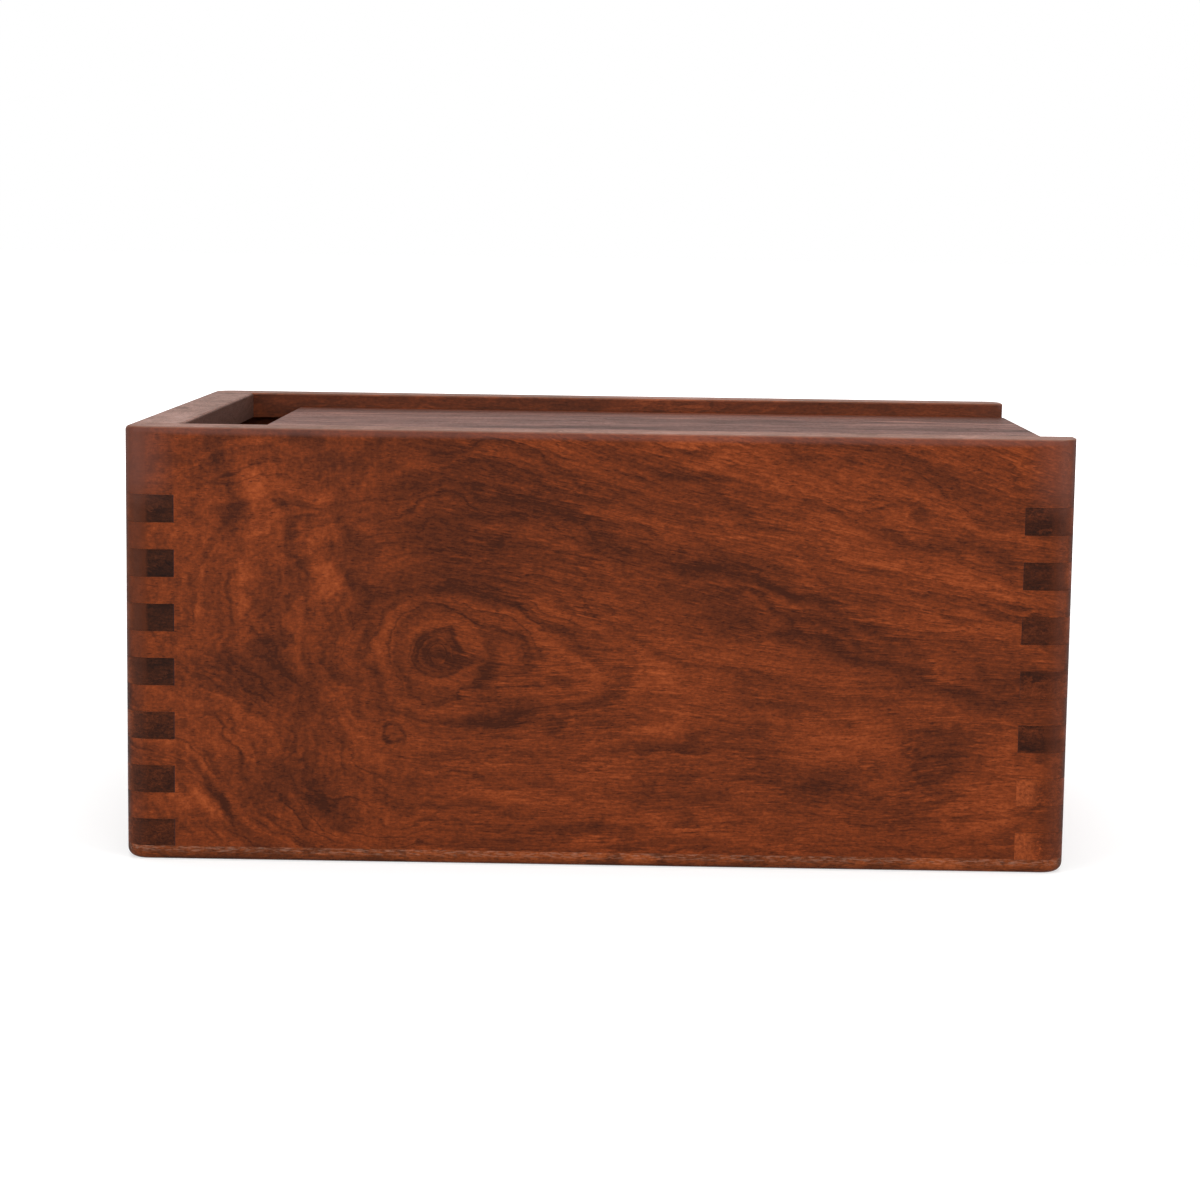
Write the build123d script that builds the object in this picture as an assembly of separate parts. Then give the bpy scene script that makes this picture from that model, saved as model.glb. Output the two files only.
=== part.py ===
from build123d import *

import math
import os

# Wooden box for a set of chess pieces, with finger-jointed walls and a sliding lid.
#
# Four thick boards are finger-jointed at the corners and glued down on a thin bottom
# board. The left end board is as tall as the long boards. The right end board is low, so
# that the lid slides out over it. The lid is one board with a raised field. On three sides
# a bevel falls from the field to a tongue, which runs in grooves in the front, back and
# left boards. The lid's right end is square.
#
# Frame: origin at the middle of the underside, +X along the length towards the low end,
# +Y from the front to the back, +Z up. All sizes are in millimetres. The lid is placed a
# little open, with a gap at the tall end.

# Outside of the box
box_length = 222.0
box_depth = 152.0
box_height = 102.5
corner_radius = 5.5  # upright corners
rim_radius = 1.0  # outer edges of the rims, and of the low end board's top
rim_chamfer = 0.5  # inner edges of the rims
foot_radius = 2.2  # lower outer edges of the bottom board

# Boards
side_thickness = 12.0  # front and back boards
end_thickness = 12.0  # left and right end boards
bottom_thickness = 3.4

# Finger joints
finger_height = 6.4  # fingers and the spaces between them are alike
finger_land = 4.0  # least height of plain wood between the top fingers and the grooves
glue_line = 0.05  # above and below each finger

# Sliding lid
lid_thickness = 6.4
lid_recess = 3.65  # from the rims down to the raised field
bevel_width = 2.0
tongue_thickness = 3.0
tongue_reach = 3.6  # how far the tongue goes into the boards
end_bearing = 1.6  # how far the closed lid reaches over the low end board
lid_opening = 11.0  # how far the lid is slid open here
end_corner_radius = 1.0  # corners of the square end, seen from above
lid_edge_radius = 0.7  # edges of the raised field, and the lower edge of the square end

# Running clearances of the lid
tongue_clearance = 0.3  # above and below the tongue, and over the low end board
groove_clearance = 0.4  # from the tongue's edge to the bottom of its groove
bevel_clearance = 0.4  # from the foot of the bevel to the boards' inner faces

# Worked out from the sizes above
half_length = box_length / 2
half_depth = box_depth / 2
inner_half_length = half_length - end_thickness
inner_half_depth = half_depth - side_thickness

lid_top = box_height - lid_recess
lid_underside = lid_top - lid_thickness
tongue_top = lid_underside + tongue_thickness
tongue_start = -inner_half_length - tongue_reach + lid_opening
tongue_half_width = inner_half_depth + tongue_reach

bevel_start = -inner_half_length + bevel_clearance + lid_opening
bevel_half_width = inner_half_depth - bevel_clearance
lid_end = inner_half_length + end_bearing + lid_opening

groove_floor = lid_underside - tongue_clearance
groove_roof = tongue_top + tongue_clearance
groove_depth = tongue_reach + groove_clearance

finger_pitch = 2 * finger_height
finger_room = groove_floor - finger_land - bottom_thickness
finger_count = math.floor((finger_room + finger_height) / finger_pitch)
finger_floors = [bottom_thickness + i * finger_pitch for i in range(finger_count)]


def block(x_span, y_span, z_span):
    """A straight-sided block between two places along each axis."""
    spans = (x_span, y_span, z_span)
    size = [high - low for low, high in spans]
    middle = [(low + high) / 2 for low, high in spans]
    return Pos(*middle) * Box(*size)


def outward_span(side, inner, outer):
    """The span from inner to outer on one side of the middle, which is -1 or 1."""
    return tuple(sorted((side * inner, side * outer)))


def rounded_outside():
    """The outside of the glued-up box as one block, to which every board is trimmed.

    The rims are rounded over along the front, the back and the tall end. The rounding runs
    out past the low end, where the long boards are cut off square.
    """
    past_end = 2 * corner_radius
    rims = RectangleRounded(box_length + past_end, box_depth, corner_radius)
    rims = extrude(Pos(past_end / 2, 0) * rims, box_height)
    rims = fillet(rims.faces().sort_by(Axis.Z)[-1].edges(), rim_radius)

    outside = extrude(RectangleRounded(box_length, box_depth, corner_radius), box_height)
    outside &= rims
    foot = outside.faces().sort_by(Axis.Z)[0].edges()
    return fillet(foot, foot_radius)


def lid_groove():
    """The slot that the tongue runs in, open towards the low end.

    It is as wide as the slot in the tall end board and in both long boards together, so
    one cut serves them all.
    """
    return block(
        (-inner_half_length - groove_depth, half_length),
        (-inner_half_depth - groove_depth, inner_half_depth + groove_depth),
        (groove_floor, groove_roof),
    )


def rim_easing():
    """What is planed off the inner edges of the rims, once the box is glued up.

    It goes round the tall end and along both long boards, and out past the low end.
    """
    past_end = half_length + rim_chamfer
    opening = Rectangle(past_end + inner_half_length, 2 * inner_half_depth)
    middle = (past_end - inner_half_length) / 2
    opening = Pos(middle, 0, box_height - rim_chamfer) * opening
    return extrude(opening, rim_chamfer, taper=-45)


def long_board(side):
    """Front board (side -1) or back board (side 1), with sockets at both ends."""
    y_span = outward_span(side, inner_half_depth, half_depth)
    board = block((-half_length, half_length), y_span, (bottom_thickness, box_height))
    for end in (-1, 1):
        x_span = outward_span(end, inner_half_length, half_length)
        for floor in finger_floors:
            z_low = max(floor - glue_line, bottom_thickness)
            z_high = floor + finger_height + glue_line
            board -= block(x_span, y_span, (z_low, z_high))
    return (board - lid_groove() - rim_easing()) & rounded_outside()


def end_board(end, top):
    """Board between the long boards at one end (-1 or 1), with fingers through them."""
    x_span = outward_span(end, inner_half_length, half_length)
    y_span = (-inner_half_depth, inner_half_depth)
    board = block(x_span, y_span, (bottom_thickness, top))
    for floor in finger_floors:
        board += block(x_span, (-half_depth, half_depth), (floor, floor + finger_height))
    return board & rounded_outside()


def left_end_board():
    """Tall end board, with a groove for the lid's left tongue."""
    return end_board(-1, box_height) - lid_groove() - rim_easing()


def right_end_board():
    """Low end board, which stops just under the lid and is eased along its top edges."""
    board = end_board(1, groove_floor)
    top_edges = board.faces().sort_by(Axis.Z)[-1].edges().sort_by(Axis.X)
    board = chamfer(top_edges[0], rim_chamfer)
    outer_edge = board.faces().sort_by(Axis.Z)[-1].edges().sort_by(Axis.X)[-1]
    return fillet(outer_edge, rim_radius)


def bottom_board():
    """Thin board under all four walls, rounded over along its lower edge."""
    x_span = (-half_length, half_length)
    y_span = (-half_depth, half_depth)
    return block(x_span, y_span, (0, bottom_thickness)) & rounded_outside()


def raised_field():
    """The thick middle of the lid, bevelled on three sides and square at the low end."""
    bevel_drop = lid_top - tongue_top
    bevel_angle = math.degrees(math.atan2(bevel_width, bevel_drop))
    past_end = lid_end + bevel_width
    foot = Rectangle(past_end - bevel_start, 2 * bevel_half_width)
    foot = Pos((past_end + bevel_start) / 2, 0, tongue_top) * foot
    field = extrude(foot, bevel_drop, taper=bevel_angle)
    kept = block(
        (bevel_start, lid_end),
        (-bevel_half_width, bevel_half_width),
        (tongue_top, lid_top),
    )
    return field & kept


def sliding_lid():
    """The lid: a tongue board with the raised field on it, its corners and edges eased."""
    tongue_board = block(
        (tongue_start, lid_end),
        (-tongue_half_width, tongue_half_width),
        (lid_underside, tongue_top),
    )
    lid = tongue_board + raised_field()
    end_corners = lid.faces().sort_by(Axis.X)[-1].edges().filter_by(Axis.Z)
    lid = fillet(end_corners, end_corner_radius)
    field_edges = lid.faces().sort_by(Axis.Z)[-1].edges()
    lower_edge = lid.faces().sort_by(Axis.X)[-1].edges().sort_by(Axis.Z)[0]
    return fillet([*field_edges, lower_edge], lid_edge_radius)


boards = {
    "front_board": long_board(-1),
    "back_board": long_board(1),
    "left_end_board": left_end_board(),
    "right_end_board": right_end_board(),
    "bottom_board": bottom_board(),
    "sliding_lid": sliding_lid(),
}

os.makedirs("parts", exist_ok=True)
for name, board in boards.items():
    export_step(board, f"parts/{name}.step")
    size = board.bounding_box().size
    print(f"{name}: {size.X:.2f} x {size.Y:.2f} x {size.Z:.2f}, {board.volume / 1000:.1f} cm3")
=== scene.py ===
"""Rosewood chess box with a sliding lid: the wood of its boards, the studio and the camera."""

import math

import bpy
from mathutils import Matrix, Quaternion, Vector

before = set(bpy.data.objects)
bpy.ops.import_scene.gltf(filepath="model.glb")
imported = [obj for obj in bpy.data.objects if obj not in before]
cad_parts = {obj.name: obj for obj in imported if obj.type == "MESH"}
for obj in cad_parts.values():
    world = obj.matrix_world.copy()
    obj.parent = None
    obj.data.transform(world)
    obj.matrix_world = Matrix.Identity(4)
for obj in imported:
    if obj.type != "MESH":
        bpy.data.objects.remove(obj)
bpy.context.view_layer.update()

bl_info = {
    "name": "Chess Box",
    "version": (1, 0, 0),
    "blender": (4, 5, 0),
    "location": "3D View > Sidebar > Chess Box",
    "description": "Figured rosewood for a finger-jointed chess box, with its studio",
    "category": "Material",
}

MM_PER_M = 1000.0

# The slot that the lid's tongues run in, in millimetres, with a little to spare.
GROOVE_LEVEL = 93.95
GROOVE_HALF_HEIGHT = 1.95
GROOVE_DEPTH = 4.2

# The way a board's grain runs: the axes along it, across it and through its thickness.
LONG_BOARD_AXES = ("X", "Z", "Y")
END_BOARD_AXES = ("Y", "Z", "X")
FLAT_BOARD_AXES = ("X", "Y", "Z")


# ---------------------------------------------------------------- sizes and colours


class WoodSettings(bpy.types.PropertyGroup):
    """Colours and sizes of the rosewood's figure."""

    vein: bpy.props.FloatVectorProperty(
        name="Veins",
        description="Darkest lines of the growth rings",
        subtype="COLOR",
        size=3,
        min=0.0,
        max=1.0,
        default=(0.040, 0.0085, 0.0026),
    )
    brown: bpy.props.FloatVectorProperty(
        name="Brown",
        description="Dark heartwood between the veins",
        subtype="COLOR",
        size=3,
        min=0.0,
        max=1.0,
        default=(0.085, 0.0170, 0.0042),
    )
    red: bpy.props.FloatVectorProperty(
        name="Red",
        description="Ordinary heartwood",
        subtype="COLOR",
        size=3,
        min=0.0,
        max=1.0,
        default=(0.152, 0.0288, 0.0063),
    )
    orange: bpy.props.FloatVectorProperty(
        name="Orange",
        description="Lightest flames of the figure",
        subtype="COLOR",
        size=3,
        min=0.0,
        max=1.0,
        default=(0.290, 0.0600, 0.0150),
    )
    pore: bpy.props.FloatVectorProperty(
        name="Pores",
        description="How dark the open pores are: the wood's colour is multiplied by this",
        subtype="COLOR",
        size=3,
        min=0.0,
        max=1.0,
        default=(0.26, 0.28, 0.36),
    )
    # The bare colour is partly painted shade: besides greying the unpolished inner faces, it
    # darkens the inside of the box.
    bare_and_shaded: bpy.props.FloatVectorProperty(
        name="Bare wood",
        description="Dull tint of the unpolished faces inside the box",
        subtype="COLOR",
        size=3,
        min=0.0,
        max=1.0,
        default=(0.072, 0.030, 0.020),
    )
    # Painted sheen: this greyish colour is mixed round the rims and the upper parts near the ends
    # in place of reflected light.
    painted_sheen: bpy.props.FloatVectorProperty(
        name="Haze",
        description="Dull bloom of the polish round the rims",
        subtype="COLOR",
        size=3,
        min=0.0,
        max=1.0,
        default=(0.145, 0.060, 0.048),
    )
    # This pale colour makes the pale flecks along the bottom board's edge, and the painted
    # highlight on the rims' top faces.
    pale_marks: bpy.props.FloatVectorProperty(
        name="Rubbed wood",
        description="Pale flecks along the bottom board's upper edge",
        subtype="COLOR",
        size=3,
        min=0.0,
        max=1.0,
        default=(0.42, 0.22, 0.14),
    )
    end_grain: bpy.props.FloatVectorProperty(
        name="End grain",
        description="How sawn ends soak up the polish: the wood's colour is multiplied by this",
        subtype="COLOR",
        size=3,
        min=0.0,
        max=1.0,
        default=(0.27, 0.33, 0.50),
    )
    roughness: bpy.props.FloatProperty(
        name="Satin",
        description="Roughness of the rubbed polish",
        subtype="FACTOR",
        min=0.0,
        max=1.0,
        default=0.42,
    )
    shine: bpy.props.FloatProperty(
        name="Shine",
        description="How much the polish mirrors face on",
        subtype="FACTOR",
        min=0.0,
        max=1.0,
        default=0.10,
    )
    pore_depth: bpy.props.FloatProperty(
        name="Pore depth",
        description="Depth of the open pores along the grain",
        subtype="DISTANCE",
        unit="LENGTH",
        precision=5,
        default=0.00005,
    )


class StudioSettings(bpy.types.PropertyGroup):
    """Strength of the studio's lamps and of the light all round."""

    front: bpy.props.FloatProperty(
        name="Front", description="Soft light from the front", unit="POWER", default=11.0
    )
    top: bpy.props.FloatProperty(
        name="Top", description="Softbox above the box", unit="POWER", default=9.0
    )
    left: bpy.props.FloatProperty(
        name="Left", description="Softbox on the left", unit="POWER", default=18.0
    )
    right: bpy.props.FloatProperty(
        name="Right", description="Softbox on the right", unit="POWER", default=17.0
    )
    back: bpy.props.FloatProperty(
        name="Back", description="Soft light from behind", unit="POWER", default=10.0
    )
    room: bpy.props.FloatProperty(
        name="Room",
        description="Light from the pale room all round",
        subtype="FACTOR",
        min=0.0,
        max=1.0,
        default=0.3,
    )


class CameraSettings(bpy.types.PropertyGroup):
    """Where the photograph was taken from."""

    place: bpy.props.FloatVectorProperty(
        name="Place",
        description="Where the camera stands",
        subtype="XYZ_LENGTH",
        unit="LENGTH",
        size=3,
        default=(0.0074, -0.7331, 0.1487),
    )
    turn: bpy.props.FloatProperty(
        name="Turn",
        description="How far the camera looks to the left of straight ahead",
        subtype="ANGLE",
        default=math.radians(0.595),
    )
    dip: bpy.props.FloatProperty(
        name="Dip",
        description="How far the camera looks down",
        subtype="ANGLE",
        default=math.radians(7.384),
    )
    roll: bpy.props.FloatProperty(
        name="Roll",
        description="How far the camera leans",
        subtype="ANGLE",
        default=math.radians(0.815),
    )
    lens: bpy.props.FloatProperty(
        name="Lens",
        description="Focal length on a 36 mm sensor, in millimetres",
        unit="CAMERA",
        default=85.2,
    )


# ---------------------------------------------------------------- node helpers


def add_node(tree, kind, inputs=None, **settings):
    """Adds a node in line after the others, with its settings, values and links."""
    node = tree.nodes.new(kind)
    node.location = (180 * len(tree.nodes), 0)
    for name, value in settings.items():
        setattr(node, name, value)
    for key, value in (inputs or {}).items():
        if isinstance(value, bpy.types.NodeSocket):
            tree.links.new(value, node.inputs[key])
        else:
            node.inputs[key].default_value = value
    return node


def calc(tree, operation, *values):
    """A sum on numbers."""
    node = add_node(tree, "ShaderNodeMath", dict(enumerate(values)), operation=operation)
    return node.outputs[0]


def vector_calc(tree, operation, *values):
    """A sum on vectors."""
    node = add_node(tree, "ShaderNodeVectorMath", dict(enumerate(values)), operation=operation)
    return node.outputs["Vector"]


def split_axes(tree, vector):
    """The three parts of a vector."""
    return add_node(tree, "ShaderNodeSeparateXYZ", {"Vector": vector}).outputs


def join_axes(tree, *parts):
    """A vector from its three parts."""
    return add_node(tree, "ShaderNodeCombineXYZ", dict(enumerate(parts))).outputs["Vector"]


def stretch(tree, value, low, high, to_low=0.0, to_high=1.0, smooth=False):
    """Moves the range from low to high onto another range, and clips what is outside it."""
    inputs = {"Value": value, "From Min": low, "From Max": high}
    inputs.update({"To Min": to_low, "To Max": to_high})
    kind = "SMOOTHSTEP" if smooth else "LINEAR"
    node = add_node(tree, "ShaderNodeMapRange", inputs, interpolation_type=kind)
    return node.outputs["Result"]


def noise(tree, place, grain, seed, detail=2.0, rough=0.5):
    """Soft noise whose features have the size of grain, in millimetres, along each axis."""
    place = vector_calc(tree, "DIVIDE", place, grain)
    place = vector_calc(tree, "ADD", place, (seed, seed * 1.7, seed * 0.6))
    inputs = {"Vector": place, "Scale": 1.0, "Detail": detail, "Roughness": rough}
    return add_node(tree, "ShaderNodeTexNoise", inputs).outputs["Fac"]


def wander(tree, place, grain, seed, reach, detail=1.0):
    """Noise about zero that mostly stays within reach, in millimetres."""
    value = noise(tree, place, grain, seed, detail)
    return stretch(tree, value, 0.0, 1.0, -2.0 * reach, 2.0 * reach)


def between(tree, amount, first, second):
    """The first value where the amount is 0, and the second where it is 1."""
    gap = calc(tree, "SUBTRACT", second, first)
    return calc(tree, "MULTIPLY_ADD", gap, amount, first)


def total(tree, start, layers):
    """The start with each layer's swing about its middle added, times its strength."""
    for strength, value in layers:
        start = calc(tree, "MULTIPLY_ADD", value, strength, start)
        start = calc(tree, "SUBTRACT", start, 0.5 * strength)
    return start


def blend_colours(tree, kind, amount, first, second):
    """Mixes two colours."""
    node = add_node(tree, "ShaderNodeMix", data_type="RGBA", blend_type=kind)
    sockets = (node.inputs[0], node.inputs[6], node.inputs[7])
    for socket, value in zip(sockets, (amount, first, second)):
        if isinstance(value, bpy.types.NodeSocket):
            tree.links.new(value, socket)
        else:
            socket.default_value = value
    return node.outputs[2]


# ---------------------------------------------------------------- wood


class Board:
    """How one board was cut from its log, in millimetres.

    heart is the middle of the figure: along and across the board, and through it. The rings
    are round near it, and drawn out further off: left and right are the distances at which
    that sets in. bare_and_shaded is the part of the board inside the box, which was never
    polished and is painted darker as shade: an axis and the span along it. knots are small
    round ones: along, across and their size.
    rings are dark lines round the heart: their distance, width and depth of colour. shades
    are soft places in the figure: along, across, half length, half width, tilt, and how
    much lighter they are. lean is the slope at which the upper fibres run down to the right;
    with it, the figure left of the heart is mottled, and not drawn out along the grain.
    soaked says how dark the sawn ends are from each height upwards, and burl is the height
    up to which they are orange with dark eyes. pale_marks is the span of height in which the
    upper edge shows pale flecks. dull_and_shade says how much the bare part has greyed and is
    darkened as painted shade, and wall whether it is one of the four walls, which get the
    painted shade on their corners and the painted sheen on their rims. pitted is how strongly
    pores and fibres show as relief. tint multiplies the colour.
    """

    def __init__(self, node, axes, heart, tilt, left, right, seed, bare_and_shaded, **extras):
        self.node = node
        self.axes = axes
        self.heart = heart
        self.tilt = tilt
        self.left = left
        self.right = right
        self.seed = seed
        self.bare_and_shaded = bare_and_shaded
        self.knots = extras.get("knots", ())
        self.rings = extras.get("rings", ())
        self.shades = extras.get("shades", ())
        self.lean = extras.get("lean", 0.0)
        self.soaked = extras.get("soaked", ((0.0, 1.0),))
        self.burl = extras.get("burl", 0.0)
        self.pale_marks = extras.get("pale_marks", ())
        self.dull_and_shade = extras.get("dull_and_shade", 0.35)
        self.wall = extras.get("wall", True)
        self.pitted = extras.get("pitted", 0.4)
        self.tint = extras.get("tint", (1.0, 1.0, 1.0))


FRONT = Board(
    "front_board",
    LONG_BOARD_AXES,
    heart=(-37.6, 49.6, -76.0),
    tilt=-12.0,
    left=60.0,
    right=7.0,
    seed=3.1,
    bare_and_shaded=("Y", -64.2, 64.2),
    knots=((-10.0, -18.2, 2.2),),
    rings=((6.0, 0.7, 0.22), (10.2, 1.0, 0.34), (15.8, 1.7, 0.26)),
    shades=(
        (0.0, 0.0, 6.4, 4.4, -20.0, -0.24),
        (-2.4, 1.4, 2.6, 1.5, -40.0, -0.24),
        (2.6, 0.2, 3.4, 1.4, -35.0, -0.24),
        (6.8, 3.0, 5.0, 2.6, -55.0, -0.16),
        (11.5, -4.5, 3.0, 6.0, -15.0, -0.22),
        (15.0, 32.0, 27.0, 17.0, -25.0, -0.26),
        (0.0, 20.0, 15.0, 11.0, -20.0, -0.16),
        (-41.0, -5.5, 19.0, 6.5, 0.0, -0.24),
        (-31.0, -34.0, 14.0, 8.0, -25.0, -0.22),
        (16.0, -12.5, 10.0, 4.5, 20.0, -0.24),
        (-18.0, 16.0, 3.0, 18.0, 8.0, -0.26),
        (-49.0, 38.0, 3.5, 14.0, 8.0, -0.24),
        (-34.0, 26.0, 1.8, 20.0, 16.0, -0.22),
        (-45.0, 17.0, 4.5, 12.0, 8.0, 0.24),
        (-40.0, 35.0, 5.0, 15.0, 14.0, 0.20),
        (-53.9, -36.5, 6.0, 1.7, -52.0, 0.34),
        (-50.4, -36.0, 7.0, 1.4, -55.0, -0.26),
        (-60.5, -34.5, 5.0, 1.8, -65.0, 0.26),
        (-26.0, 25.0, 4.0, 14.0, 10.0, 0.20),
        (103.0, 32.0, 26.0, 13.0, -20.0, 0.15),
        (70.0, 46.0, 12.0, 8.0, -20.0, 0.12),
        (96.0, 7.0, 48.0, 8.0, -17.0, -0.12),
        (74.0, 18.0, 27.0, 2.0, -17.0, -0.20),
        (82.0, 13.2, 30.0, 1.4, -17.0, 0.16),
        (88.0, 9.5, 30.0, 1.4, -17.0, -0.16),
        (94.0, 5.6, 30.0, 1.3, -17.0, 0.15),
        (101.0, 1.5, 30.0, 1.9, -17.0, -0.18),
        (122.0, 27.0, 24.0, 1.8, -16.0, -0.20),
        (61.0, 40.0, 22.0, 1.8, -14.0, -0.16),
        (51.0, -2.0, 20.0, 8.0, 0.0, 0.12),
        (88.0, -19.0, 15.0, 4.0, -4.0, 0.16),
        (136.0, -5.0, 16.0, 8.0, -8.0, -0.16),
        (92.0, -29.0, 10.0, 5.0, 0.0, -0.16),
        (58.0, -39.0, 22.0, 7.0, 8.0, 0.14),
        (112.0, -38.0, 12.0, 5.0, 15.0, -0.14),
        (128.0, -34.0, 12.0, 6.0, 0.0, 0.14),
    ),
    lean=0.2,
)
BACK = Board(
    "back_board",
    LONG_BOARD_AXES,
    heart=(48.0, 24.0, 70.0),
    tilt=6.0,
    left=12.0,
    right=20.0,
    seed=13.4,
    bare_and_shaded=("Y", -64.2, 64.2),
)
LEFT_END = Board(
    "left_end_board",
    END_BOARD_AXES,
    heart=(10.0, -35.0, -90.0),
    tilt=2.0,
    left=5.0,
    right=5.0,
    seed=25.2,
    bare_and_shaded=("X", -99.2, 99.2),
    soaked=((0.0, 0.7), (26.0, 0.82), (39.0, 1.0)),
    # Painted shade: this board's inner face is darkened more than the others'. Its tint greys the
    # whole board, a painted stand-in for the reflected veil on its rim.
    dull_and_shade=0.85,
    tint=(0.86, 0.93, 1.0),
)
RIGHT_END = Board(
    "right_end_board",
    END_BOARD_AXES,
    heart=(-20.0, 120.0, 90.0),
    tilt=-3.0,
    left=5.0,
    right=5.0,
    seed=39.9,
    bare_and_shaded=("X", -99.2, 99.2),
    soaked=((0.0, 0.0), (24.0, 0.72), (41.0, 0.55), (49.0, 0.85)),
    burl=24.0,
)
BOTTOM = Board(
    "bottom_board",
    FLAT_BOARD_AXES,
    heart=(30.0, -110.0, 20.0),
    tilt=1.0,
    left=5.0,
    right=5.0,
    seed=42.2,
    bare_and_shaded=("Z", 3.38, 4.0),
    pale_marks=(1.4, 2.6),
    wall=False,
    tint=(1.22, 1.42, 1.6),
)
LID = Board(
    "sliding_lid",
    FLAT_BOARD_AXES,
    heart=(20.0, -40.0, 60.0),
    tilt=1.5,
    left=5.0,
    right=5.0,
    seed=57.3,
    bare_and_shaded=("Z", 92.0, 92.6),
    wall=False,
    pitted=0.9,
    tint=(0.82, 0.88, 0.98),
)


def board_place(tree, board):
    """Places on the box in millimetres, and the same from the heart, as the grain runs."""
    here = add_node(tree, "ShaderNodeTexCoord").outputs["Object"]
    here = vector_calc(tree, "MULTIPLY", here, (MM_PER_M, MM_PER_M, MM_PER_M))
    parts = split_axes(tree, here)
    place = join_axes(tree, *(parts[axis] for axis in board.axes))
    return parts, vector_calc(tree, "SUBTRACT", place, board.heart)


def ring_depth(tree, place, board):
    """How far out in the growth rings each place lies, in millimetres."""
    seed = board.seed
    inputs = {"Vector": place, "Angle": -math.radians(board.tilt)}
    turned = add_node(tree, "ShaderNodeVectorRotate", inputs).outputs["Vector"]
    parts = split_axes(tree, turned)
    loose = stretch(tree, length_of(tree, turned), 2.0, 26.0, 0.3, 1.0, smooth=True)
    sway = wander(tree, place, (46, 30, 60), seed, 9.0, 2.0)
    along = calc(tree, "MULTIPLY_ADD", sway, loose, parts["X"])
    sway = wander(tree, place, (44, 26, 60), seed + 20, 7.0, 3.0)
    across = calc(tree, "MULTIPLY_ADD", sway, loose, parts["Y"])
    through = calc(tree, "MULTIPLY", parts["Z"], 0.6)
    reach = stretch(tree, along, -8.0, 8.0, board.left, board.right)
    drawn_out = calc(tree, "ADD", calc(tree, "ABSOLUTE", along), reach)
    drawn_out = calc(tree, "DIVIDE", reach, drawn_out)
    square = calc(tree, "MULTIPLY", calc(tree, "MULTIPLY", along, along), drawn_out)
    for part in (across, through):
        square = calc(tree, "MULTIPLY_ADD", part, part, square)
    return calc(tree, "SQRT", square)


def length_of(tree, vector):
    """How long a vector is."""
    return add_node(tree, "ShaderNodeVectorMath", {0: vector}, operation="LENGTH").outputs["Value"]


def dark_line(tree, value, middle, width, strength):
    """A soft line where the value is near its middle."""
    apart = calc(tree, "ABSOLUTE", calc(tree, "SUBTRACT", value, middle))
    return stretch(tree, apart, 0.0, width, strength, 0.0, smooth=True)


def small_knots(tree, place, knots):
    """How the rings bulge round the small knots, and the dark line round each of them."""
    bulge = 0.0
    lines = 0.0
    for along, across, size in knots:
        apart = vector_calc(tree, "SUBTRACT", place, (along, across, 0.0))
        apart = vector_calc(tree, "MULTIPLY", apart, (0.85, 1.0, 0.1))
        apart = calc(tree, "ADD", length_of(tree, apart), wander(tree, place, (3, 3, 3), 5.0, 0.5))
        near = stretch(tree, apart, 0.0, 2.2 * size, 7.0, 0.0, smooth=True)
        bulge = calc(tree, "ADD", bulge, near)
        lines = calc(tree, "ADD", lines, dark_line(tree, apart, size, 0.7, 0.3))
    return bulge, lines


def ring_lines(tree, depth, rings, broken):
    """The dark lines round the heart, added up, and fainter where they are broken."""
    lines = 0.0
    for distance, width, strength in rings:
        lines = calc(tree, "ADD", lines, dark_line(tree, depth, distance, width, strength))
    return calc(tree, "MULTIPLY", lines, stretch(tree, broken, 0.36, 0.56, 0.15, 1.0))


def frayed_edges(tree, place, seed, fibres, strands, drawn_out):
    """How far the edges of the soft shades are moved about, mostly along the grain."""
    along = wander(tree, place, (14, 9, 14), seed, 6.0, 3.0)
    feathers = total(tree, 0.0, ((12.0, fibres), (16.0, strands)))
    along = calc(tree, "MULTIPLY_ADD", feathers, drawn_out, along)
    across = wander(tree, place, (18, 12, 16), seed + 1, 4.0, 3.0)
    return join_axes(tree, along, across, 0.0)


def soft_shades(tree, place, frayed, shades, start):
    """The start with the soft dark and light places in the figure added."""
    for along, across, half_length, half_width, tilt, lighter in shades:
        fray = min(1.0, (half_length + half_width) / 24.0) ** 1.5
        apart = vector_calc(tree, "MULTIPLY_ADD", frayed, (fray, fray, fray), place)
        apart = vector_calc(tree, "SUBTRACT", apart, (along, across, 0.0))
        inputs = {"Vector": apart, "Angle": -math.radians(tilt)}
        apart = add_node(tree, "ShaderNodeVectorRotate", inputs).outputs["Vector"]
        apart = vector_calc(tree, "DIVIDE", apart, (half_length, half_width, 1000.0))
        shade = stretch(tree, length_of(tree, apart), 0.2, 1.5, lighter, 0.0, smooth=True)
        start = calc(tree, "ADD", start, shade)
    return start


def fibre_run(tree, place, board):
    """Places as the fibres run, and how much the figure is drawn out along them."""
    drift = wander(tree, place, (80, 45, 60), board.seed + 2, 4.0)
    drawn_out = 1.0
    if board.lean:
        parts = split_axes(tree, place)
        drawn_out = stretch(tree, parts["X"], -26.0, 16.0, 0.25, 1.0, smooth=True)
        lean = stretch(tree, parts["Y"], -18.0, 12.0, 0.0, board.lean, smooth=True)
        past_heart = calc(tree, "MAXIMUM", calc(tree, "ADD", parts["X"], 12.0), 0.0)
        drift = calc(tree, "MULTIPLY_ADD", lean, past_heart, drift)
    return vector_calc(tree, "ADD", place, join_axes(tree, 0.0, drift, 0.0)), drawn_out


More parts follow.
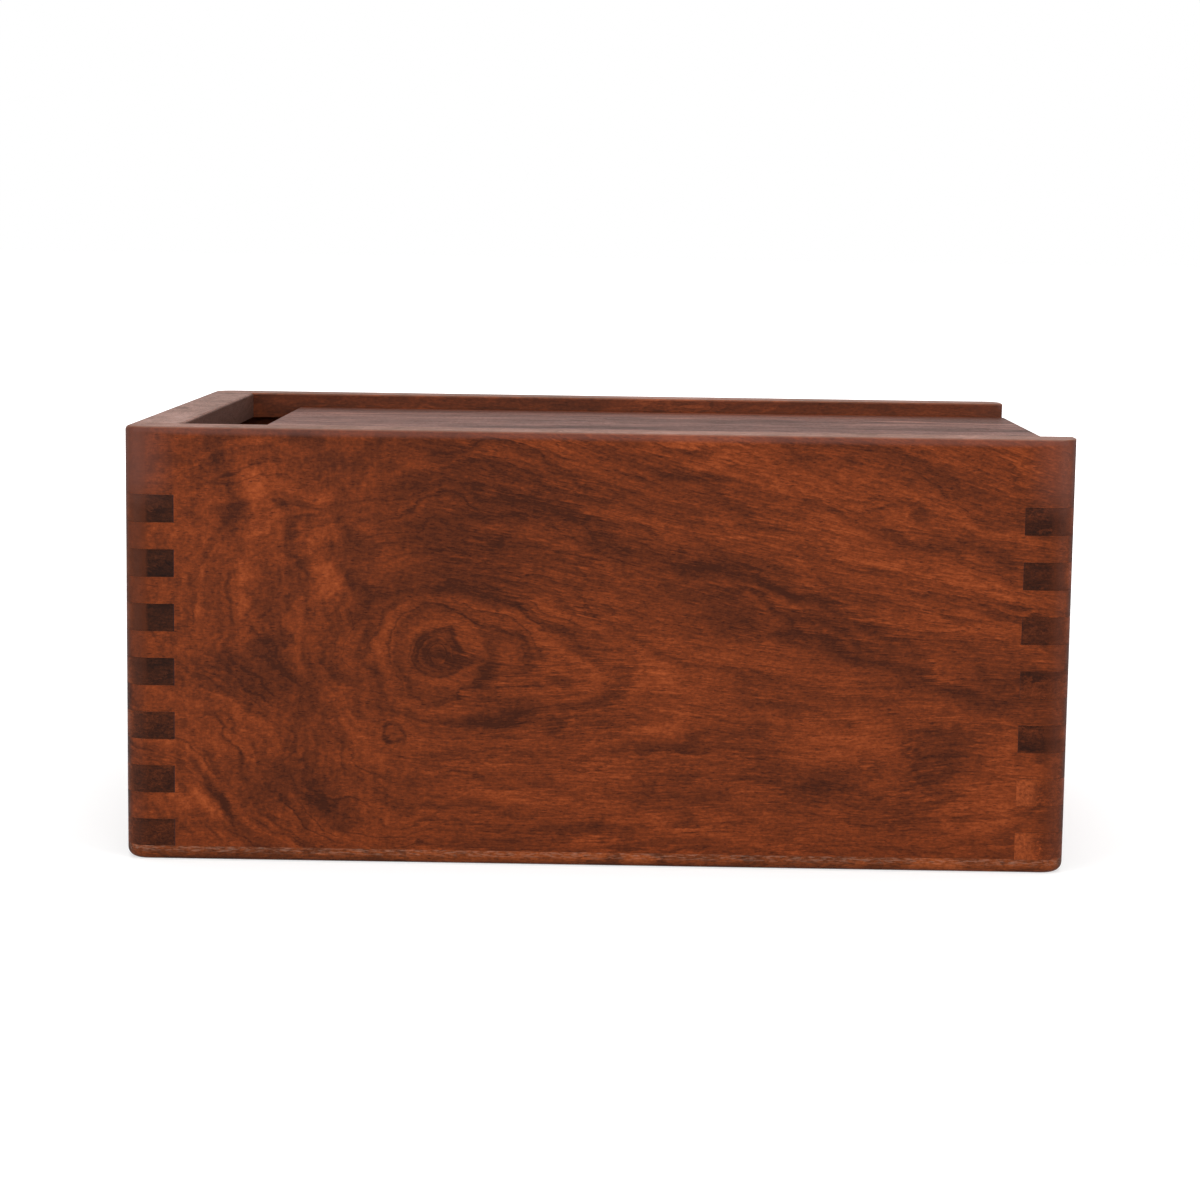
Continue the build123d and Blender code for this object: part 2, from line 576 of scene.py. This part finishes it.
def figure(tree, place, board):
    """How light the figure is, from dark veins at 0 to pale flames at 1, and its fine grain."""
    seed = board.seed
    straight, drawn_out = fibre_run(tree, place, board)
    fibres = noise(tree, straight, (3.7, 0.42, 0.6), seed + 4, 4.0, 0.7)
    strands = noise(tree, straight, (20.0, 1.6, 3.0), seed + 6, 3.0, 0.6)
    depth = ring_depth(tree, place, board)
    depth = calc(tree, "ADD", depth, wander(tree, place, (13, 8, 15), seed + 8, 1.8, 3.0))
    knot_lines = 0.0
    if board.knots:
        bulge, knot_lines = small_knots(tree, place, board.knots)
        depth = calc(tree, "ADD", depth, bulge)
    feathers = total(tree, 0.0, ((2.5, fibres), (4.0, strands)))
    feathers = calc(tree, "MULTIPLY", feathers, drawn_out)
    smooth_core = stretch(tree, depth, 5.0, 18.0, 0.3, 1.0, smooth=True)
    depth = calc(tree, "MULTIPLY_ADD", feathers, smooth_core, depth)
    parts = split_axes(tree, place)
    rings = join_axes(tree, parts["X"], depth, parts["Z"])
    broad = noise(tree, rings, (90, 11.0, 60), seed + 10, 2.0)
    bands = noise(tree, rings, (50, 3.4, 30), seed + 12, 3.0, 0.55)
    lines = noise(tree, rings, (40, 3.6, 30), seed + 14, 1.0)
    patches = noise(tree, place, (22, 12, 18), seed + 16, 5.0, 0.6)
    veins = dark_line(tree, lines, 0.5, 0.06, 0.26)
    veins = calc(tree, "MULTIPLY", veins, stretch(tree, patches, 0.42, 0.58))
    if board.rings:
        veins = calc(tree, "ADD", veins, ring_lines(tree, depth, board.rings, bands))
    grit = noise(tree, place, (1.0, 0.6, 0.8), seed + 18, 2.0, 0.6)
    if board.shades:
        frayed = frayed_edges(tree, place, seed + 22, fibres, strands, drawn_out)
    if board.lean:
        mottle = noise(tree, place, (1.5, 2.2, 2.0), seed + 24, 4.0, 0.7)
        fibres = between(tree, drawn_out, mottle, fibres)
        flames = noise(tree, place, (2.8, 9.0, 6.0), seed + 26, 3.0, 0.6)
        strands = between(tree, drawn_out, flames, strands)
    broad_swing = 0.4 if board.shades else 1.0
    layers = ((broad_swing, broad), (0.95, bands), (0.55, patches), (0.6, strands))
    tone = total(tree, 0.45, (*layers, (1.0, fibres), (0.7, grit)))
    tone = calc(tree, "SUBTRACT", calc(tree, "SUBTRACT", tone, veins), knot_lines)
    if board.shades:
        tone = soft_shades(tree, place, frayed, board.shades, tone)
    return tone, fibres


def pores(tree, place, seed):
    """1 in the short open pores along the grain, 0 between them."""
    dashes = noise(tree, place, (1.7, 0.22, 0.22), seed + 30, 1.0)
    crowd = noise(tree, place, (12.0, 5.0, 5.0), seed + 32, 2.0)
    crowd = stretch(tree, crowd, 0.3, 0.7, -0.03, 0.03)
    return stretch(tree, calc(tree, "ADD", dashes, crowd), 0.64, 0.72)


def wood_colour(tree, tone, wood):
    """The polished rosewood's colour from its tone."""
    ramp = add_node(tree, "ShaderNodeValToRGB", {"Fac": tone})
    stops = ((0.0, wood.vein), (0.3, wood.brown), (0.58, wood.red), (1.0, wood.orange))
    elements = ramp.color_ramp.elements
    while len(elements) < len(stops):
        elements.new(0.5)
    for element, (place, colour) in zip(elements, stops):
        element.position = place
        element.color = (*colour, 1.0)
    return ramp.outputs["Color"]


def sawn_end(tree, box_parts, board):
    """How dark the faces that cut across the grain are, with 0 for the other faces."""
    normal = add_node(tree, "ShaderNodeTexCoord").outputs["Normal"]
    along = split_axes(tree, normal)[board.axes[0]]
    end = stretch(tree, calc(tree, "ABSOLUTE", along), 0.6, 0.95, smooth=True)
    soaked = board.soaked[0][1]
    for height, amount in board.soaked[1:]:
        above = calc(tree, "GREATER_THAN", box_parts["Z"], height)
        soaked = calc(tree, "MULTIPLY_ADD", above, calc(tree, "SUBTRACT", amount, soaked), soaked)
    return calc(tree, "MULTIPLY", end, soaked), end


def burl_ends(tree, box_parts, place, end, board, wood, colour):
    """Turns the inner half of the lowest sawn ends into orange burl with dark eyes."""
    low = calc(tree, "MULTIPLY", end, calc(tree, "LESS_THAN", box_parts["Z"], board.burl))
    across = calc(tree, "ABSOLUTE", box_parts["X"])
    inner = stretch(tree, across, 101.6, 104.6, 0.9, 0.0, smooth=True)
    low = calc(tree, "MULTIPLY", low, inner)
    eyes = noise(tree, place, (30.0, 0.9, 0.9), board.seed + 37, 4.0, 0.7)
    eyes = stretch(tree, eyes, 0.30, 0.64)
    burl = blend_colours(tree, "MIX", eyes, (*wood.brown, 1.0), (*wood.orange, 1.0))
    return blend_colours(tree, "MIX", low, colour, burl)


def painted_corner_shade(tree, box_parts, wood, colour):
    """Painted light: darkens the rounded upright corners towards brown, most of all on the upper
    left as a painted stand-in for the reflected veil there, and as painted shade on the right
    corner.
    """
    deep = stretch(tree, calc(tree, "ABSOLUTE", box_parts["Y"]), 69.8, 70.6)
    left = stretch(tree, box_parts["X"], -105.8, -105.0, 1.0, 0.0)
    high = stretch(tree, box_parts["Z"], 34.0, 60.0, 0.12, 0.62, smooth=True)
    left = calc(tree, "MULTIPLY", left, high)
    right = stretch(tree, box_parts["X"], 104.8, 106.2, 0.0, 0.35)
    corners = calc(tree, "MULTIPLY", deep, calc(tree, "MAXIMUM", left, right))
    return blend_colours(tree, "MIX", corners, colour, (*wood.brown, 1.0))


def painted_rim_sheen(tree, box_parts, wood, colour):
    """Adds painted sheen round the rims' outer edges and on the upper parts near the ends, a
    greyish bloom that stands in for reflected light, and a painted highlight in the pale colour on
    the rims' top faces.
    """
    across = calc(tree, "ABSOLUTE", box_parts["Y"])
    deep = stretch(tree, across, 74.4, 75.2)
    long = stretch(tree, calc(tree, "ABSOLUTE", box_parts["X"]), 109.4, 110.2)
    edges = stretch(tree, box_parts["Z"], 100.3, 101.5, 0.0, 0.4, smooth=True)
    edges = calc(tree, "MULTIPLY", edges, calc(tree, "MAXIMUM", deep, long))
    near = stretch(tree, box_parts["X"], -107.0, -97.0, 0.3, 0.0, smooth=True)
    far = stretch(tree, box_parts["X"], 98.0, 107.0, 0.0, 0.24, smooth=True)
    near = calc(tree, "MAXIMUM", near, far)
    near = calc(tree, "MULTIPLY", near, stretch(tree, box_parts["Z"], 82.0, 92.0, smooth=True))
    near = calc(tree, "MULTIPLY", near, stretch(tree, across, 60.0, 72.0, smooth=True))
    sheen_mask = calc(tree, "MAXIMUM", edges, near)
    colour = blend_colours(tree, "MIX", sheen_mask, colour, (*wood.painted_sheen, 1.0))
    # Painted highlight: the rims' top faces are mixed towards the pale colour.
    top = stretch(tree, box_parts["Z"], 102.1, 102.4, 0.0, 0.2)
    return blend_colours(tree, "MIX", top, colour, (*wood.pale_marks, 1.0))


def pale_flecks(tree, box_parts, place, bare_and_shaded, board, wood, colour):
    """Adds pale flecks along an edge, in the board's given span of height, away from the inner
    faces.
    """
    low, high = board.pale_marks
    near = stretch(tree, box_parts["Z"], low, high, smooth=True)
    near = calc(tree, "MULTIPLY", near, calc(tree, "SUBTRACT", 1.0, bare_and_shaded))
    flecks = noise(tree, place, (2.2, 0.8, 0.34), board.seed + 38, 3.0, 0.6)
    flecks = calc(tree, "MULTIPLY", near, stretch(tree, flecks, 0.46, 0.72, 0.0, 0.26))
    return blend_colours(tree, "MIX", flecks, colour, (*wood.pale_marks, 1.0))


def bare_and_shaded_wood(tree, box_parts, board):
    """1 on the unpolished faces inside the box and in the grooves, which are also painted darker
    as shade, 0 on the others.
    """
    axis, low, high = board.bare_and_shaded
    middle = (low + high) / 2
    apart = calc(tree, "ABSOLUTE", calc(tree, "SUBTRACT", box_parts[axis], middle))
    reach = (high - low) / 2
    if board.wall:
        level = calc(tree, "ABSOLUTE", calc(tree, "SUBTRACT", box_parts["Z"], GROOVE_LEVEL))
        level = calc(tree, "LESS_THAN", level, GROOVE_HALF_HEIGHT)
        reach = calc(tree, "MULTIPLY_ADD", level, GROOVE_DEPTH, reach)
    return calc(tree, "LESS_THAN", apart, reach)


def rosewood(board, wood):
    """The satin rosewood of one board."""
    material = bpy.data.materials.new(board.node + "_rosewood")
    material.use_nodes = True
    tree = material.node_tree
    tree.nodes.clear()
    box_parts, place = board_place(tree, board)
    tone, fibres = figure(tree, place, board)
    pore = pores(tree, place, board.seed)
    colour = wood_colour(tree, tone, wood)
    colour = blend_colours(
        tree, "MULTIPLY", calc(tree, "MULTIPLY", pore, 0.75), colour, (*wood.pore, 1.0)
    )
    # The inner faces are mixed towards the bare colour: the dull tint of unpolished wood, and
    # painted shade that darkens the inside of the box.
    bare_and_shaded = bare_and_shaded_wood(tree, box_parts, board)
    colour = blend_colours(
        tree, "MIX", calc(tree, "MULTIPLY", bare_and_shaded, board.dull_and_shade), colour, (*wood.bare_and_shaded, 1.0)
    )
    dark_end, end = sawn_end(tree, box_parts, board)
    colour = blend_colours(tree, "MULTIPLY", dark_end, colour, (*wood.end_grain, 1.0))
    specks = noise(tree, place, (40.0, 0.6, 1.3), board.seed + 34, 4.0, 0.65)
    specks = stretch(tree, specks, 0.3, 0.7, 0.6, 1.4)
    specks = join_axes(tree, specks, specks, specks)
    colour = blend_colours(tree, "MULTIPLY", end, colour, specks)
    # Painted shade on the rounded corners, painted sheen round the rims and a painted highlight on
    # their top faces.
    if board.wall:
        colour = painted_corner_shade(tree, box_parts, wood, colour)
        colour = painted_rim_sheen(tree, box_parts, wood, colour)
    if board.burl:
        colour = burl_ends(tree, box_parts, place, end, board, wood, colour)
    if board.pale_marks:
        colour = pale_flecks(tree, box_parts, place, bare_and_shaded, board, wood, colour)
    colour = blend_colours(tree, "MULTIPLY", 1.0, colour, (*board.tint, 1.0))
    height = calc(tree, "MULTIPLY_ADD", pore, -1.5, fibres)
    inputs = {"Height": height, "Strength": board.pitted, "Distance": wood.pore_depth}
    bump = add_node(tree, "ShaderNodeBump", inputs)
    gloss = total(tree, wood.roughness, ((0.25, fibres), (-0.3, tone)))
    gloss = calc(tree, "MULTIPLY_ADD", pore, 0.15, gloss)
    gloss = calc(tree, "MULTIPLY_ADD", bare_and_shaded, 0.25, gloss)
    inputs = {
        "Base Color": colour,
        "Roughness": gloss,
        "Specular IOR Level": wood.shine,
        "Normal": bump.outputs["Normal"],
    }
    shader = add_node(tree, "ShaderNodeBsdfPrincipled", inputs)
    add_node(tree, "ShaderNodeOutputMaterial", {"Surface": shader.outputs["BSDF"]})
    return material


def finish_board(board, wood):
    """Puts the board's own rosewood on its CAD node."""
    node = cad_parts[board.node]
    material = rosewood(board, wood)
    for slot in node.material_slots:
        slot.material = material


# ---------------------------------------------------------------- studio


def white_floor():
    """A pale floor that keeps the box's shadow and turns pure white away from the box."""
    bpy.ops.mesh.primitive_plane_add(size=30.0, location=(0.0, 0.0, 0.0))
    floor = bpy.context.object
    floor.name = "floor"
    material = bpy.data.materials.new("floor_white")
    material.use_nodes = True
    tree = material.node_tree
    tree.nodes.clear()
    seen = add_node(tree, "ShaderNodeLightPath").outputs["Is Camera Ray"]
    here = add_node(tree, "ShaderNodeTexCoord").outputs["Object"]
    away = add_node(tree, "ShaderNodeVectorMath", {0: here}, operation="LENGTH")
    glow = stretch(tree, away.outputs["Value"], 0.25, 0.8, 0.46, 1.0, smooth=True)
    glow = add_node(tree, "ShaderNodeEmission", {"Strength": calc(tree, "MULTIPLY", seen, glow)})
    paint = add_node(tree, "ShaderNodeBsdfDiffuse", {"Color": (0.6, 0.6, 0.6, 1.0)})
    both = add_node(tree, "ShaderNodeAddShader", {0: paint.outputs[0], 1: glow.outputs[0]})
    add_node(tree, "ShaderNodeOutputMaterial", {"Surface": both.outputs[0]})
    floor.data.materials.append(material)


def white_room(studio):
    """A world that the camera sees as white, and that lights the box softly."""
    world = bpy.data.worlds.new("white_room")
    bpy.context.scene.world = world
    world.use_nodes = True
    tree = world.node_tree
    tree.nodes.clear()
    path = add_node(tree, "ShaderNodeLightPath").outputs
    way = add_node(tree, "ShaderNodeTexCoord").outputs["Generated"]
    mirrored = stretch(tree, split_axes(tree, way)["Y"], -0.6, 0.4, 0.15, 0.9)
    mirrored = calc(tree, "MULTIPLY", mirrored, path["Is Glossy Ray"])
    seen = calc(tree, "MAXIMUM", path["Is Camera Ray"], path["Is Transmission Ray"])
    level = calc(tree, "MAXIMUM", calc(tree, "MAXIMUM", seen, mirrored), studio.room)
    inputs = {"Color": (1.0, 1.0, 1.0, 1.0), "Strength": level}
    light = add_node(tree, "ShaderNodeBackground", inputs)
    add_node(tree, "ShaderNodeOutputWorld", {"Surface": light.outputs[0]})


def softbox(name, place, size, power, shines=True):
    """A square lamp that faces the box; one that doesn't shine leaves no highlight."""
    lamp = bpy.data.lights.new(name, "AREA")
    lamp.size = size
    lamp.energy = power
    stand = bpy.data.objects.new(name, lamp)
    bpy.context.scene.collection.objects.link(stand)
    stand.location = place
    aim = Vector((0.0, 0.0, 0.05)) - stand.location
    stand.rotation_mode = "QUATERNION"
    stand.rotation_quaternion = aim.to_track_quat("-Z", "Y")
    stand.visible_camera = False
    stand.visible_glossy = shines


def set_camera(view):
    """The camera at the photograph's angle."""
    camera = bpy.data.objects.new("camera", bpy.data.cameras.new("camera"))
    bpy.context.scene.collection.objects.link(camera)
    camera.data.sensor_width = 36.0
    camera.data.lens = view.lens
    heading = math.pi / 2 + view.turn
    level = math.cos(view.dip)
    ahead = Vector((math.cos(heading) * level, math.sin(heading) * level, -math.sin(view.dip)))
    camera.location = view.place
    camera.rotation_mode = "QUATERNION"
    lean = Quaternion((0.0, 0.0, 1.0), view.roll)
    camera.rotation_quaternion = ahead.to_track_quat("-Z", "Y") @ lean
    bpy.context.scene.camera = camera


# ---------------------------------------------------------------- operators and panel


class FinishLongBoards(bpy.types.Operator):
    """Finish the front and back boards"""

    bl_idname = "chess_box.long_boards"
    bl_label = "Long Boards"

    def execute(self, context):
        for board in (FRONT, BACK):
            finish_board(board, context.scene.chess_box_wood)
        return {"FINISHED"}


class FinishEndBoards(bpy.types.Operator):
    """Finish the tall and the low end board"""

    bl_idname = "chess_box.end_boards"
    bl_label = "End Boards"

    def execute(self, context):
        for board in (LEFT_END, RIGHT_END):
            finish_board(board, context.scene.chess_box_wood)
        return {"FINISHED"}


class FinishBottom(bpy.types.Operator):
    """Finish the bottom board"""

    bl_idname = "chess_box.bottom"
    bl_label = "Bottom"

    def execute(self, context):
        finish_board(BOTTOM, context.scene.chess_box_wood)
        return {"FINISHED"}


class FinishLid(bpy.types.Operator):
    """Finish the sliding lid"""

    bl_idname = "chess_box.lid"
    bl_label = "Sliding Lid"

    def execute(self, context):
        finish_board(LID, context.scene.chess_box_wood)
        return {"FINISHED"}


class SetStudio(bpy.types.Operator):
    """Set up the floor, the lamps and the camera"""

    bl_idname = "chess_box.studio"
    bl_label = "Studio"

    def execute(self, context):
        studio = context.scene.chess_box_studio
        context.scene.view_settings.view_transform = "Standard"
        white_floor()
        white_room(studio)
        softbox("top_lamp", (0.0, 0.25, 1.3), 1.2, studio.top)
        softbox("left_lamp", (-1.15, -0.85, 0.45), 1.3, studio.left)
        softbox("right_lamp", (1.25, -0.70, 0.55), 1.2, studio.right)
        softbox("front_lamp", (0.1, -1.7, 0.8), 1.3, studio.front, shines=False)
        softbox("back_lamp", (-0.2, 1.7, 0.9), 1.3, studio.back, shines=False)
        set_camera(context.scene.chess_box_camera)
        return {"FINISHED"}


class ChessBoxPanel(bpy.types.Panel):
    """Lists the chess box's settings and steps"""

    bl_idname = "VIEW3D_PT_chess_box"
    bl_label = "Chess Box"
    bl_space_type = "VIEW_3D"
    bl_region_type = "UI"
    bl_category = "Chess Box"

    def draw(self, context):
        for settings in SETTINGS:
            group = getattr(context.scene, settings)
            box = self.layout.box()
            for name in group.bl_rna.properties.keys():
                if name not in ("rna_type", "name"):
                    box.prop(group, name)
        for operator in OPERATORS:
            self.layout.operator(operator.bl_idname)


OPERATORS = (FinishLongBoards, FinishEndBoards, FinishBottom, FinishLid, SetStudio)
SETTINGS = {
    "chess_box_wood": WoodSettings,
    "chess_box_studio": StudioSettings,
    "chess_box_camera": CameraSettings,
}


def register():
    """Registers the settings, the operators and the panel."""
    for name, settings in SETTINGS.items():
        bpy.utils.register_class(settings)
        setattr(bpy.types.Scene, name, bpy.props.PointerProperty(type=settings))
    for each in (*OPERATORS, ChessBoxPanel):
        bpy.utils.register_class(each)


def unregister():
    """Takes the panel, the operators and the settings away again."""
    for each in (ChessBoxPanel, *reversed(OPERATORS)):
        bpy.utils.unregister_class(each)
    for name, settings in reversed(SETTINGS.items()):
        delattr(bpy.types.Scene, name)
        bpy.utils.unregister_class(settings)


def main():
    """Makes the whole scene."""
    register()
    bpy.ops.chess_box.long_boards()
    bpy.ops.chess_box.end_boards()
    bpy.ops.chess_box.bottom()
    bpy.ops.chess_box.lid()
    bpy.ops.chess_box.studio()


if __name__ == "__main__":
    main()
